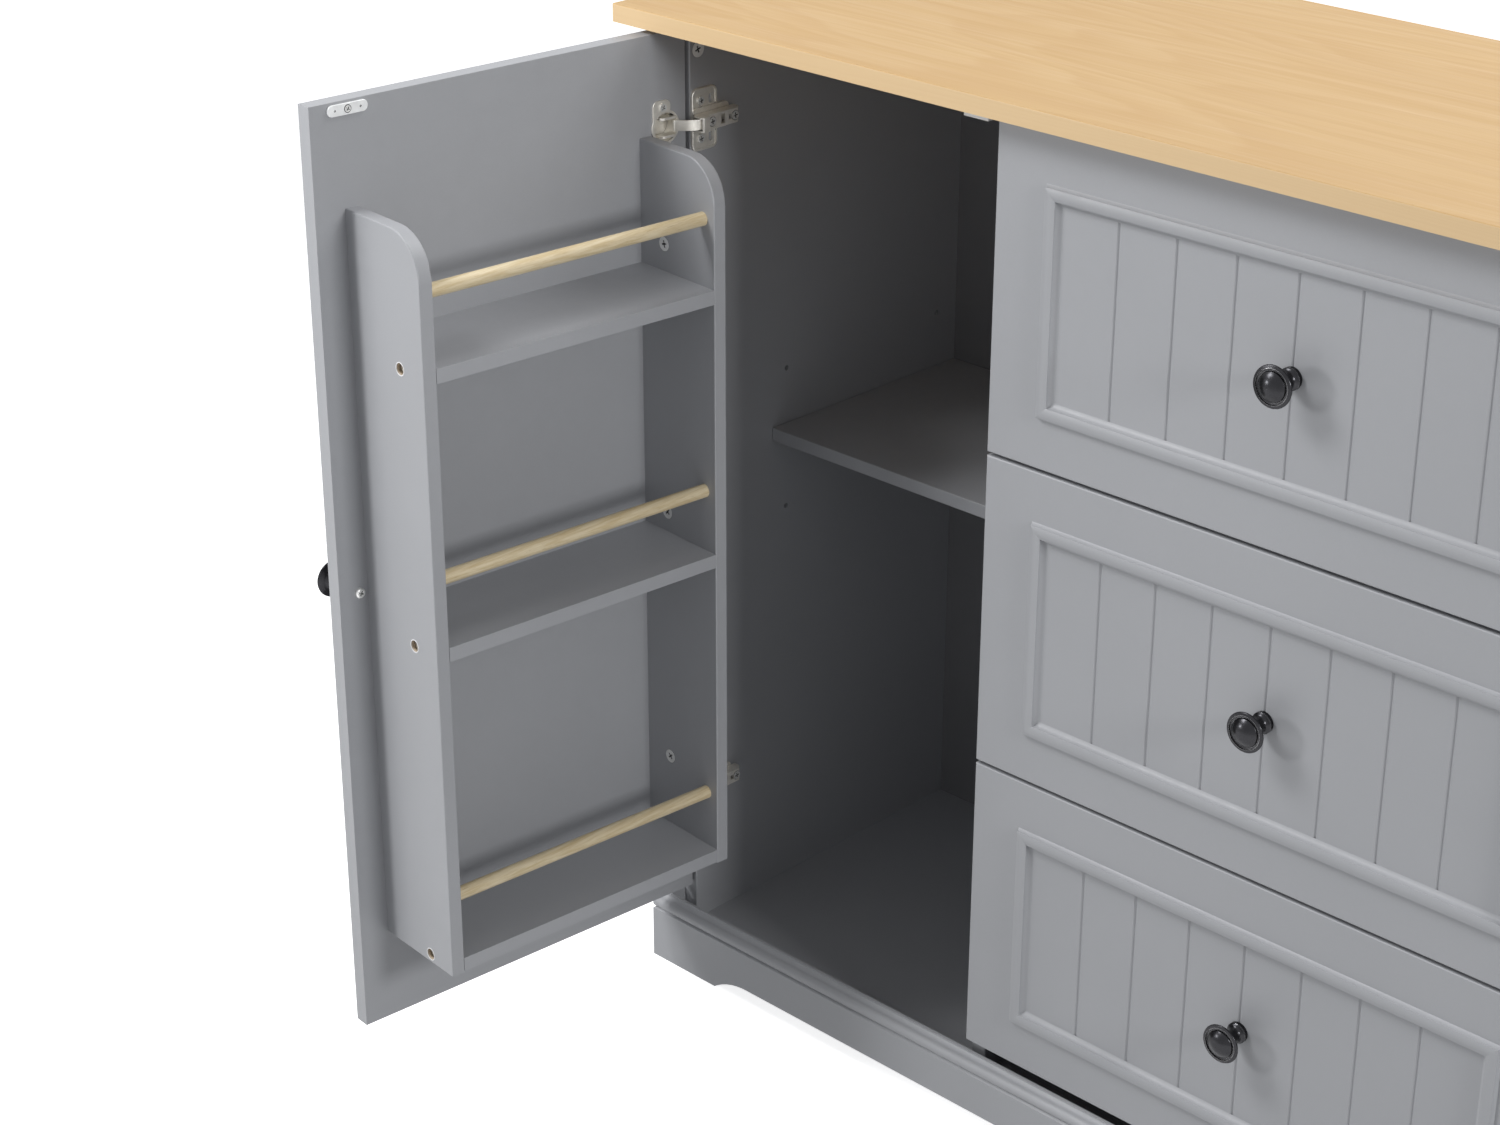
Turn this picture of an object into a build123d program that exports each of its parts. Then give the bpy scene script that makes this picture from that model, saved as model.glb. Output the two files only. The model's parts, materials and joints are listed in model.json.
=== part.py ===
"""Pantry cabinet: one hinged door with a spice rack, and a column of three drawers.

Millimetres, +Z up.  The origin is on the floor, at the middle of the plinth's
footprint.  +X runs along the width, and the fronts face -Y.  The door stands open
at its rest angle; the drawers are shut.
"""
import math
import os

from build123d import *

os.makedirs("parts", exist_ok=True)

# ---------------------------------------------------------------- driving sizes
BOARD = 15.0                 # carcass boards, door and drawer fronts
THIN_BOARD = 12.0            # shelves, rack and plinth boards
FRONT_GAP = 3.0              # gap between neighbouring fronts
DOOR_WIDTH = 358.0
DRAWER_WIDTH = 538.0
DRAWER_HEIGHT = 265.0
DRAWER_COUNT = 3
FRONT_INSET = 3.0            # the fronts stand this far outside the side panels
FRONT_Y = -177.0             # outer face of the door (shut) and of the drawers
CARCASS_FRONT_Y = -157.6
BACK_Y = 184.5               # front face of the back panel
BACK_THICKNESS = 3.0
FRONT_BOTTOM = 74.0
BOTTOM_PANEL_TOP = 37.0
TOP_CLEARANCE = 4.0          # fronts to the worktop's underside
WORKTOP_THICKNESS = 15.0
WORKTOP_DEPTH = 400.0
WORKTOP_FRONT_OVERHANG = 21.7
WORKTOP_SIDE_OVERHANG = 32.0
EDGE_EASE = 1.2              # small rounding on painted board edges

# ---------------------------------------------------------------- derived sizes
STACK_HEIGHT = DRAWER_COUNT * DRAWER_HEIGHT + (DRAWER_COUNT - 1) * FRONT_GAP
FRONTS_WIDTH = DOOR_WIDTH + FRONT_GAP + DRAWER_WIDTH
FRONTS_LEFT = -FRONTS_WIDTH / 2
DOOR_RIGHT = FRONTS_LEFT + DOOR_WIDTH
DRAWER_LEFT = DOOR_RIGHT + FRONT_GAP
SIDE_OUTER = FRONTS_WIDTH / 2 - FRONT_INSET
SIDE_INNER = SIDE_OUTER - BOARD
FRONT_INNER_Y = FRONT_Y + BOARD
WORKTOP_UNDERSIDE = FRONT_BOTTOM + STACK_HEIGHT + TOP_CLEARANCE
BOTTOM_PANEL_UNDERSIDE = BOTTOM_PANEL_TOP - THIN_BOARD
DIVIDER_MIDDLE = (DOOR_RIGHT + DRAWER_LEFT) / 2
DIVIDER_LEFT = DIVIDER_MIDDLE - BOARD / 2
DIVIDER_RIGHT = DIVIDER_MIDDLE + BOARD / 2

# ---------------------------------------------------------------- door placing
HINGE_FROM_EDGE = 8.5        # hinge axis, from the door's hinge edge
HINGE_FROM_FACE = 7.2        # hinge axis, from the door's inner face
DOOR_REST_ANGLE = 95.0       # the door stands open by this much at rest
HINGE_X = FRONTS_LEFT + HINGE_FROM_EDGE
HINGE_Y = FRONT_INNER_Y - HINGE_FROM_FACE

rest = math.radians(DOOR_REST_ANGLE)
ALONG_DOOR = Vector(math.cos(rest), -math.sin(rest), 0)      # hinge edge to free edge
INTO_ROOM = Vector(math.sin(rest), math.cos(rest), 0)        # off the door's inner face
DOOR_CORNER = (Vector(HINGE_X, HINGE_Y, FRONT_BOTTOM)
               - ALONG_DOOR * HINGE_FROM_EDGE + INTO_ROOM * HINGE_FROM_FACE)
# On DOOR, local x is the distance from the hinge edge, local y is the height above
# the door's bottom edge, and offsets are positive towards the door's outer face.
DOOR = Plane(origin=DOOR_CORNER, x_dir=ALONG_DOOR, z_dir=-INTO_ROOM)

nodes = []


def save(builder, name):
    """Label a finished piece and write its STEP file."""
    builder.part.label = name
    export_step(builder.part, f"parts/{name}.step")
    nodes.append(name)


def across_door(distance):
    """Plane square to the door: local x is the depth off its inner face, y the height."""
    return Plane(origin=DOOR_CORNER + ALONG_DOOR * distance, x_dir=INTO_ROOM, z_dir=ALONG_DOOR)


def level_with_door(height):
    """Level plane: local x is the distance from the door's hinge edge, y the depth off it."""
    return Plane(origin=DOOR_CORNER + Vector(0, 0, height), x_dir=ALONG_DOOR, z_dir=(0, 0, 1))


def depth_off_door(shape):
    """How far a shape's centre lies off the door's inner face, into the room."""
    return -DOOR.to_local_coords(shape.center()).Z


def board(x0, x1, y0, y1, z0, z1, mode=Mode.ADD):
    """Add a plain board between two corners to the current part, or cut it away."""
    with BuildSketch(Plane.XY.offset(z0)) as outline:
        with Locations(((x0 + x1) / 2, (y0 + y1) / 2)):
            Rectangle(x1 - x0, y1 - y0)
    extrude(outline.sketch, amount=z1 - z0, mode=mode)


def bore(plane, points, radius, depth, mode=Mode.SUBTRACT):
    """Round bores, or pegs, of one radius that run from the plane along its normal."""
    with BuildSketch(plane) as circles:
        with Locations(*points):
            Circle(radius)
    extrude(circles.sketch, amount=depth, mode=mode)


# ---------------------------------------------------------------- joinery sizes
PIN_CLEARANCE = 0.05
PIN_RADIUS = 2.5
PIN_HOLE_DEPTH = 9.0
PIN_PITCH = 66.0
PIN_FRONT_Y = -41.5
PIN_REAR_Y = 158.0
SHELF_BOTTOM = 486.0
PIN_MIDDLE_Z = SHELF_BOTTOM - PIN_RADIUS
PIN_COLUMNS = (PIN_FRONT_Y, PIN_REAR_Y)
PIN_POINTS = [(y, PIN_MIDDLE_Z + step * PIN_PITCH) for y in PIN_COLUMNS for step in (-1, 0, 1)]

CAM_RADIUS = 7.0
CAM_DEPTH = 11.0
CAM_DROP = 24.0              # cam centre below the worktop's underside
CAM_COLUMNS = (CARCASS_FRONT_Y + 10, BACK_Y - 37)
CAM_POINTS = [(y, WORKTOP_UNDERSIDE - CAM_DROP) for y in CAM_COLUMNS]
CAM_SLIP = 0.3
CAM_TOP_GAP = 0.4
BOLT_RADIUS = 3.5
BOLT_DEPTH = 10.0
UPRIGHT_MIDDLES = (-SIDE_OUTER + BOARD / 2, DIVIDER_MIDDLE, SIDE_OUTER - BOARD / 2)
BOLT_POINTS = [(x, y) for x in UPRIGHT_MIDDLES for y in CAM_COLUMNS]

SMALL_SCREW_RADIUS = 1.75
SMALL_SCREW_DEPTH = 11.0
HINGE_HEIGHTS = (177.0, 796.5)

PLATE_FRONT_Y = CARCASS_FRONT_Y + 0.6
PLATE_SCREW_Y = PLATE_FRONT_Y + 9.8
PLATE_SLOT_Y = PLATE_FRONT_Y + 21.4
PLATE_SCREW_RISE = 16.0      # plate screws above and below the middle of the hinge

STRIKE_FROM_EDGE = 324.8
STRIKE_Z = 868.6
CATCH_X = FRONTS_LEFT + STRIKE_FROM_EDGE
CATCH_FRONT_Y = FRONT_INNER_Y + 2.4
CATCH_LENGTH = 42.0
CATCH_DEPTH = 15.0
CATCH_HEIGHT = 17.0
CATCH_EAR = 9.0
CATCH_EAR_THICKNESS = 3.0
CATCH_MAGNET_LENGTH = 19.0
CATCH_POLE_OFFSET = 3.4
CATCH_POLE_THICKNESS = 1.4
CATCH_POLE_DEPTH = 8.0
CATCH_POLE_STAND = 0.5
CATCH_SCREW_RADIUS = 1.6
CATCH_SCREW_HEAD_HEIGHT = 1.6
CATCH_SCREW_DEPTH = 9.0
CATCH_SCREW_POINTS = [(CATCH_X + side * (CATCH_LENGTH - CATCH_EAR) / 2,
                       CATCH_FRONT_Y + CATCH_DEPTH / 2) for side in (-1, 1)]

# ---------------------------------------------------------------- worktop
WORKTOP_FRONT_Y = FRONT_Y - WORKTOP_FRONT_OVERHANG
WORKTOP_HALF_WIDTH = SIDE_OUTER + WORKTOP_SIDE_OVERHANG
WORKTOP_TOP = WORKTOP_UNDERSIDE + WORKTOP_THICKNESS

with BuildPart() as worktop:
    board(-WORKTOP_HALF_WIDTH, WORKTOP_HALF_WIDTH, WORKTOP_FRONT_Y,
          WORKTOP_FRONT_Y + WORKTOP_DEPTH, WORKTOP_UNDERSIDE, WORKTOP_TOP)
    fillet(worktop.edges().filter_by(Axis.Z), 1.5)
    fillet(worktop.faces().sort_by(Axis.Z)[-1].edges(), 1.0)
    bore(Plane.XY.offset(WORKTOP_UNDERSIDE), BOLT_POINTS, BOLT_RADIUS, BOLT_DEPTH)
    bore(Plane.XY.offset(WORKTOP_UNDERSIDE), CATCH_SCREW_POINTS, CATCH_SCREW_RADIUS,
         CATCH_SCREW_DEPTH)
save(worktop, "worktop")

# ---------------------------------------------------------------- carcass boards
def face_plane(x, towards):
    """Plane on a board's side face: local x is +Y, y is +Z or -Z, normal towards +X or -X."""
    return Plane(origin=(x, 0, 0), x_dir=(0, 1, 0), z_dir=(towards, 0, 0))


def on_face(points, towards):
    """(y, z) points, as local points of face_plane."""
    return [(y, z * towards) for y, z in points]


def upright(x0, x1, cam_face, towards, pin_face=None):
    """A carcass upright with its cam pockets, bolt holes and shelf-pin holes."""
    board(x0, x1, CARCASS_FRONT_Y, BACK_Y, BOTTOM_PANEL_TOP, WORKTOP_UNDERSIDE)
    fillet(edges().filter_by(Axis.Z).group_by(Axis.Y)[0], EDGE_EASE)
    bore(face_plane(cam_face, towards), on_face(CAM_POINTS, towards), CAM_RADIUS, -CAM_DEPTH)
    bolts = [((x0 + x1) / 2, y) for y in CAM_COLUMNS]
    bore(Plane.XY.offset(WORKTOP_UNDERSIDE), bolts, BOLT_RADIUS, -CAM_DROP)
    if pin_face is not None:
        bore(face_plane(pin_face, towards), on_face(PIN_POINTS, towards), PIN_RADIUS,
             -PIN_HOLE_DEPTH)


with BuildPart() as side_panel_left:
    upright(-SIDE_OUTER, -SIDE_INNER, -SIDE_INNER, 1, pin_face=-SIDE_INNER)
    plate_screws = [(PLATE_SCREW_Y, height + z) for height in HINGE_HEIGHTS
                    for z in (-PLATE_SCREW_RISE, PLATE_SCREW_RISE)]
    bore(face_plane(-SIDE_INNER, 1), plate_screws, SMALL_SCREW_RADIUS, -SMALL_SCREW_DEPTH)
save(side_panel_left, "side_panel_left")

with BuildPart() as side_panel_right:
    upright(SIDE_INNER, SIDE_OUTER, SIDE_INNER, -1)
save(side_panel_right, "side_panel_right")

with BuildPart() as divider_panel:
    upright(DIVIDER_LEFT, DIVIDER_RIGHT, DIVIDER_LEFT, -1, pin_face=DIVIDER_LEFT)
save(divider_panel, "divider_panel")

PLINTH_FRONT_Y = FRONT_Y - 10.5
PLINTH_BACK_Y = -PLINTH_FRONT_Y
PLINTH_OUTER = SIDE_OUTER + THIN_BOARD

with BuildPart() as bottom_panel:
    board(-SIDE_OUTER, SIDE_OUTER, PLINTH_FRONT_Y + THIN_BOARD, BACK_Y,
          BOTTOM_PANEL_UNDERSIDE, BOTTOM_PANEL_TOP)
save(bottom_panel, "bottom_panel")

BACK_INSET = 2.0
with BuildPart() as back_panel:
    board(-SIDE_OUTER + BACK_INSET, SIDE_OUTER - BACK_INSET, BACK_Y, BACK_Y + BACK_THICKNESS,
          BOTTOM_PANEL_UNDERSIDE, WORKTOP_UNDERSIDE)
save(back_panel, "back_panel")

# ---------------------------------------------------------------- plinth
LIP_HEIGHT = 65.0            # top of the moulding's lip
LIP_WIDTH = 2.7
LIP_STEP = 1.5               # the lip stands this far above the cove
QUIRK_HEIGHT = 49.6
QUIRK_DEPTH = 2.2
BEAD_RADIUS = 5.2
BEAD_MIDDLE = 55.4
FOOT_LENGTH = 80.0
ARCH_RUN = 40.0
ARCH_HEIGHT = 13.5


def plinth_profile():
    """Moulded board seen from its end: x runs inwards from the outer face, y is up."""
    cove_end = THIN_BOARD - LIP_WIDTH
    with BuildLine() as outline:
        Polyline((THIN_BOARD, LIP_HEIGHT), (THIN_BOARD, 0), (0, 0), (0, QUIRK_HEIGHT),
                 (QUIRK_DEPTH, QUIRK_HEIGHT + 1.5))
        ThreePointArc((QUIRK_DEPTH, QUIRK_HEIGHT + 1.5), (0, BEAD_MIDDLE),
                      (BEAD_RADIUS, BEAD_MIDDLE + BEAD_RADIUS))
        ThreePointArc((BEAD_RADIUS, BEAD_MIDDLE + BEAD_RADIUS),
                      (cove_end - 1.5, LIP_HEIGHT - LIP_STEP - 1.8),
                      (cove_end, LIP_HEIGHT - LIP_STEP))
        Polyline((cove_end, LIP_HEIGHT - LIP_STEP), (cove_end, LIP_HEIGHT),
                 (THIN_BOARD, LIP_HEIGHT))
    make_face(outline.line)


def foot_arch(half_length):
    """The cut-out that leaves a bracket foot at each end: x along the board, y up."""
    foot = half_length - FOOT_LENGTH
    top = foot - ARCH_RUN
    arc_radius = (ARCH_RUN ** 2 + ARCH_HEIGHT ** 2) / (2 * ARCH_HEIGHT)
    half_way = top + ARCH_RUN / 2
    half_height = ARCH_HEIGHT - arc_radius + math.sqrt(arc_radius ** 2 - (ARCH_RUN / 2) ** 2)
    with BuildLine() as outline:
        Line((-foot, 0), (foot, 0))
        ThreePointArc((foot, 0), (half_way, half_height), (top, ARCH_HEIGHT))
        Line((top, ARCH_HEIGHT), (-top, ARCH_HEIGHT))
        ThreePointArc((-top, ARCH_HEIGHT), (-half_way, half_height), (-foot, 0))
    make_face(outline.line)


with BuildPart() as plinth_front:
    end = Plane(origin=(-PLINTH_OUTER, PLINTH_FRONT_Y, 0), x_dir=(0, 1, 0), z_dir=(1, 0, 0))
    with BuildSketch(end):
        plinth_profile()
    extrude(amount=2 * PLINTH_OUTER)
    with BuildSketch(Plane.XZ.offset(-PLINTH_FRONT_Y - THIN_BOARD)):
        foot_arch(PLINTH_OUTER)
    extrude(amount=THIN_BOARD, mode=Mode.SUBTRACT)
    with BuildSketch():
        for side in (-1, 1):
            outer = side * PLINTH_OUTER
            inner = side * (PLINTH_OUTER - THIN_BOARD)
            with BuildLine():
                Polyline((outer, PLINTH_FRONT_Y), (inner, PLINTH_FRONT_Y + THIN_BOARD),
                         (outer, PLINTH_FRONT_Y + THIN_BOARD), close=True)
            make_face()
    extrude(amount=LIP_HEIGHT, mode=Mode.SUBTRACT)
save(plinth_front, "plinth_front")


def plinth_return(side):
    """The moulded board under one side of the cabinet, mitred at its front end."""
    end = Plane(origin=(side * PLINTH_OUTER, PLINTH_BACK_Y, 0), x_dir=(-side, 0, 0),
                z_dir=(0, side, 0))
    with BuildSketch(end) as section:
        plinth_profile()
    extrude(section.sketch, amount=-side * (PLINTH_BACK_Y - PLINTH_FRONT_Y))
    flank = Plane(origin=(side * PLINTH_OUTER, 0, 0), x_dir=(0, 1, 0), z_dir=(1, 0, 0))
    with BuildSketch(flank) as arch:
        foot_arch(PLINTH_BACK_Y)
    extrude(arch.sketch, amount=-side * THIN_BOARD, mode=Mode.SUBTRACT)
    with BuildSketch() as mitre:
        with BuildLine():
            Polyline((side * PLINTH_OUTER, PLINTH_FRONT_Y),
                     (side * (PLINTH_OUTER - THIN_BOARD), PLINTH_FRONT_Y + THIN_BOARD),
                     (side * (PLINTH_OUTER - THIN_BOARD), PLINTH_FRONT_Y), close=True)
        make_face()
    extrude(mitre.sketch, amount=LIP_HEIGHT, mode=Mode.SUBTRACT)


with BuildPart() as plinth_left:
    plinth_return(-1)
save(plinth_left, "plinth_left")

with BuildPart() as plinth_right:
    plinth_return(1)
save(plinth_right, "plinth_right")

with BuildPart() as plinth_back:
    board(-SIDE_OUTER, SIDE_OUTER, BACK_Y - THIN_BOARD, BACK_Y, 0, BOTTOM_PANEL_UNDERSIDE)
    with BuildSketch(Plane.XZ.offset(-BACK_Y)):
        foot_arch(SIDE_OUTER)
    extrude(amount=THIN_BOARD, mode=Mode.SUBTRACT)
save(plinth_back, "plinth_back")

BLOCK_LEG = 45.0
GLIDE_RADIUS = 11.0
GLIDE_THICKNESS = 3.0
block_front_y = PLINTH_FRONT_Y + THIN_BOARD
block_back_y = BACK_Y - THIN_BOARD
BLOCK_CORNERS = [(side * SIDE_OUTER, y, -side, inwards)
                 for side in (-1, 1)
                 for y, inwards in ((block_front_y, 1), (block_back_y, -1))]

with BuildPart() as plinth_corner_blocks:
    with BuildSketch(Plane.XY.offset(GLIDE_THICKNESS)):
        for x, y, dx, dy in BLOCK_CORNERS:
            with BuildLine():
                Polyline((x, y), (x + dx * BLOCK_LEG, y), (x + dx * BLOCK_LEG, y + dy * 12),
                         (x + dx * 12, y + dy * BLOCK_LEG), (x, y + dy * BLOCK_LEG), close=True)
            make_face()
    extrude(amount=BOTTOM_PANEL_UNDERSIDE - GLIDE_THICKNESS)
save(plinth_corner_blocks, "plinth_corner_blocks")

with BuildPart() as foot_glides:
    with BuildSketch():
        with Locations(*[(x + dx * 16, y + dy * 16) for x, y, dx, dy in BLOCK_CORNERS]):
            Circle(GLIDE_RADIUS)
    extrude(amount=GLIDE_THICKNESS)
    chamfer(foot_glides.faces().group_by(Axis.Z)[0].edges(), 0.8)
save(foot_glides, "foot_glides")

CENTRE_FOOT_RADIUS = 24.0
with BuildPart() as centre_foot:
    with BuildSketch(Plane.XZ):
        with BuildLine():
            Polyline((0, 0), (CENTRE_FOOT_RADIUS - 3, 0), (CENTRE_FOOT_RADIUS, 3),
                     (CENTRE_FOOT_RADIUS, 6), (15, 10), (15, BOTTOM_PANEL_UNDERSIDE - 4),
                     (CENTRE_FOOT_RADIUS, BOTTOM_PANEL_UNDERSIDE - 4),
                     (CENTRE_FOOT_RADIUS, BOTTOM_PANEL_UNDERSIDE),
                     (0, BOTTOM_PANEL_UNDERSIDE), close=True)
        make_face()
    revolve(axis=Axis.Z)
save(centre_foot, "centre_foot")

# ---------------------------------------------------------------- shelf and its pins
SHELF_FRONT_Y = -59.8
SHELF_SIDE_GAP = 1.0
with BuildPart() as adjustable_shelf:
    board(-SIDE_INNER + SHELF_SIDE_GAP, DIVIDER_LEFT - SHELF_SIDE_GAP, SHELF_FRONT_Y, BACK_Y - 1,
          SHELF_BOTTOM, SHELF_BOTTOM + THIN_BOARD)
    fillet(adjustable_shelf.edges().filter_by(Axis.X).group_by(Axis.Y)[0], 0.8)
save(adjustable_shelf, "adjustable_shelf")

PIN_REACH = 9.0
PIN_COLLAR_RADIUS = 3.6
with BuildPart() as shelf_pins:
    for x, towards in ((-SIDE_INNER, 1), (DIVIDER_LEFT, -1)):
        pins = on_face([(y, PIN_MIDDLE_Z) for y in PIN_COLUMNS], towards)
        wall = face_plane(x, towards)
        bore(wall.offset(-PIN_HOLE_DEPTH + 1), pins, PIN_RADIUS - PIN_CLEARANCE,
             PIN_HOLE_DEPTH - 1 + PIN_REACH, Mode.ADD)
        bore(wall, pins, PIN_COLLAR_RADIUS, SHELF_SIDE_GAP - 0.2, Mode.ADD)
save(shelf_pins, "shelf_pins")


CROSS_ARM_SHARE = 0.24        # width of a cross's arms as a share of its span


def cross_recess(plane, points, span, depth, turn=0):
    """Cut a cross-shaped driver recess at each point, from the plane against its normal."""
    with BuildSketch(plane) as cross:
        with Locations(*points):
            Rectangle(span, span * CROSS_ARM_SHARE, rotation=turn)
            Rectangle(span * CROSS_ARM_SHARE, span, rotation=turn)
    extrude(cross.sketch, amount=-depth, mode=Mode.SUBTRACT)


with BuildPart() as cam_locks:
    for x, towards in ((-SIDE_INNER, 1), (DIVIDER_LEFT, -1), (SIDE_INNER, -1)):
        wall = face_plane(x, towards)
        spots = on_face(CAM_POINTS, towards)
        bore(wall, spots, CAM_RADIUS - CAM_SLIP, -CAM_DEPTH + CAM_TOP_GAP, Mode.ADD)
        cross_recess(wall, spots, 6.4, 2.5, turn=20)
save(cam_locks, "cam_locks")


with BuildPart() as cam_bolts:
    for x, y in BOLT_POINTS:
        foot = WORKTOP_UNDERSIDE - CAM_DROP + CAM_RADIUS
        bore(Plane.XY.offset(foot), [(x, y)], BOLT_RADIUS - CAM_SLIP,
             WORKTOP_UNDERSIDE + BOLT_DEPTH - CAM_TOP_GAP - foot, Mode.ADD)
save(cam_bolts, "cam_bolts")

# ---------------------------------------------------------------- magnetic catch
with BuildPart() as magnetic_catch:
    board(CATCH_X - CATCH_LENGTH / 2, CATCH_X + CATCH_LENGTH / 2, CATCH_FRONT_Y,
          CATCH_FRONT_Y + CATCH_DEPTH, WORKTOP_UNDERSIDE - CATCH_HEIGHT, WORKTOP_UNDERSIDE)
    for side in (-1, 1):
        ear = side * (CATCH_LENGTH / 2 - CATCH_EAR / 2)
        with BuildSketch(Plane.XY.offset(WORKTOP_UNDERSIDE - CATCH_HEIGHT)):
            with Locations((CATCH_X + ear, CATCH_FRONT_Y + CATCH_DEPTH / 2)):
                Rectangle(CATCH_EAR, CATCH_DEPTH)
        extrude(amount=CATCH_HEIGHT - CATCH_EAR_THICKNESS, mode=Mode.SUBTRACT)
    bore(Plane.XY.offset(WORKTOP_UNDERSIDE), CATCH_SCREW_POINTS, CATCH_SCREW_RADIUS + 0.3,
         -CATCH_HEIGHT)
    with BuildSketch(Plane.XZ.offset(-CATCH_FRONT_Y)):
        with Locations((CATCH_X, STRIKE_Z)):
            Rectangle(CATCH_MAGNET_LENGTH, 2 * CATCH_POLE_OFFSET + CATCH_POLE_THICKNESS)
    extrude(amount=-CATCH_POLE_DEPTH, mode=Mode.SUBTRACT)
save(magnetic_catch, "magnetic_catch")

with BuildPart() as catch_poles:
    with BuildSketch(Plane.XZ.offset(-CATCH_FRONT_Y + CATCH_POLE_STAND)):
        with Locations((CATCH_X, STRIKE_Z - CATCH_POLE_OFFSET),
                       (CATCH_X, STRIKE_Z + CATCH_POLE_OFFSET)):
            Rectangle(CATCH_MAGNET_LENGTH, CATCH_POLE_THICKNESS)
    extrude(amount=-CATCH_POLE_STAND - CATCH_POLE_DEPTH)
save(catch_poles, "catch_poles")

with BuildPart() as catch_screws:
    under = Plane.XY.offset(WORKTOP_UNDERSIDE - CATCH_EAR_THICKNESS)
    bore(under, CATCH_SCREW_POINTS, CATCH_SCREW_RADIUS - PIN_CLEARANCE,
         CATCH_EAR_THICKNESS + CATCH_SCREW_DEPTH - 1, Mode.ADD)
    bore(under, CATCH_SCREW_POINTS, CATCH_SCREW_RADIUS * 2, -CATCH_SCREW_HEAD_HEIGHT,
         Mode.ADD)
    cross_recess(under.offset(-CATCH_SCREW_HEAD_HEIGHT), CATCH_SCREW_POINTS, 3.6, -1.0)
save(catch_screws, "catch_screws")

# ---------------------------------------------------------------- cabinet side of the hinges
WING_THICKNESS = 2.4
WING_WIDTH = 29.0
WING_LENGTH = 53.0
WING_RIM = 2.2
WING_DISH = 0.8              # the wings are pressed down inside their rims
SPINE_THICKNESS = 3.4
SPINE_LENGTH = 41.0
SPINE_WIDTH = 21.0
ARM_WIDTH = 12.5
ARM_WALL = 1.2
ARM_HEIGHT = 13.0            # back of the arm, off the side panel
NOSE_HEIGHT = 16.8           # the arm's cranked nose, off the side panel
NOSE_LENGTH = 8.5
PLATE_SCREW_HEAD_RADIUS = 3.6
PLATE_SCREW_HEAD_HEIGHT = 1.5
ARM_FRONT_Y = CARCASS_FRONT_Y - 1.9
ARM_LENGTH = 48.5
ARM_SCREWS_Y = (ARM_FRONT_Y + 15.0, ARM_FRONT_Y + 41.5)
ARM_SLOT_Y = ARM_FRONT_Y + 27.5
ARM_SCREW_RADIUS = 2.0
ARM_SCREW_HEAD = 3.7
ARM_HEAD_HOLE = 4.3

# One link of each hinge is modelled.  It turns on a pin in the arm's nose, and its
# free end stays inside the cup, with room all round, while the door swings.
LINK_PIN = (-SIDE_INNER + 12.8, -154.5)
LINK_TIP = (HINGE_X + 7.4, HINGE_Y - 4.6)
LINK_BOW = 2.6
LINK_HALF_WIDTH = 4.4
LINK_THICKNESS = 1.6
LINK_EYE_RADIUS = 2.3
LINK_TIP_RADIUS = 1.2
LINK_PIN_RADIUS = 1.2


def side_points(y_offsets, z_offsets):
    """Points on the left side panel's inner face, for both hinges."""
    return [(y, height + z) for height in HINGE_HEIGHTS for y in y_offsets for z in z_offsets]


hinge_wall = face_plane(-SIDE_INNER, 1)
plate_screw_points = side_points([PLATE_SCREW_Y], [-PLATE_SCREW_RISE, PLATE_SCREW_RISE])
plate_slot_points = side_points([PLATE_SLOT_Y], [-PLATE_SCREW_RISE, PLATE_SCREW_RISE])
arm_screw_points = side_points(ARM_SCREWS_Y, [0])

with BuildPart() as hinge_plates:
    with BuildSketch(hinge_wall):
        with Locations(*side_points([PLATE_FRONT_Y + WING_WIDTH / 2], [0])):
            RectangleRounded(WING_WIDTH, WING_LENGTH, 6)
    extrude(amount=WING_THICKNESS)
    wing_top = hinge_wall.offset(WING_THICKNESS)
    fillet(hinge_plates.faces().sort_by(Axis.X)[-2:].edges(), 0.9)
    with BuildSketch(wing_top):
        with Locations(*side_points([PLATE_FRONT_Y + WING_WIDTH / 2], [0])):
            RectangleRounded(WING_WIDTH - 2 * WING_RIM, WING_LENGTH - 2 * WING_RIM, 4)
    extrude(amount=-WING_DISH, mode=Mode.SUBTRACT)
    with BuildSketch(hinge_wall):
        with Locations(*side_points([PLATE_FRONT_Y + SPINE_LENGTH / 2], [0])):
            RectangleRounded(SPINE_LENGTH, SPINE_WIDTH, 4)
    extrude(amount=SPINE_THICKNESS)
    bore(hinge_wall, plate_screw_points, SMALL_SCREW_RADIUS, WING_THICKNESS)
    with BuildSketch(hinge_wall):
        with Locations(*plate_slot_points):
            SlotOverall(8.5, 4.0, rotation=90)
    extrude(amount=WING_THICKNESS, mode=Mode.SUBTRACT)
    bore(hinge_wall, arm_screw_points, ARM_SCREW_RADIUS + PIN_CLEARANCE, SPINE_THICKNESS)
save(hinge_plates, "hinge_plates")

with BuildPart() as hinge_plate_screws:
    dish = hinge_wall.offset(WING_THICKNESS - WING_DISH)
    bore(hinge_wall.offset(-10), plate_screw_points, SMALL_SCREW_RADIUS - PIN_CLEARANCE,
         10 + WING_THICKNESS, Mode.ADD)
    bore(dish, plate_screw_points, PLATE_SCREW_HEAD_RADIUS, PLATE_SCREW_HEAD_HEIGHT, Mode.ADD)
    cross_recess(dish.offset(PLATE_SCREW_HEAD_HEIGHT), plate_screw_points, 4.4, 1.1, turn=15)
save(hinge_plate_screws, "hinge_plate_screws")

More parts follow.
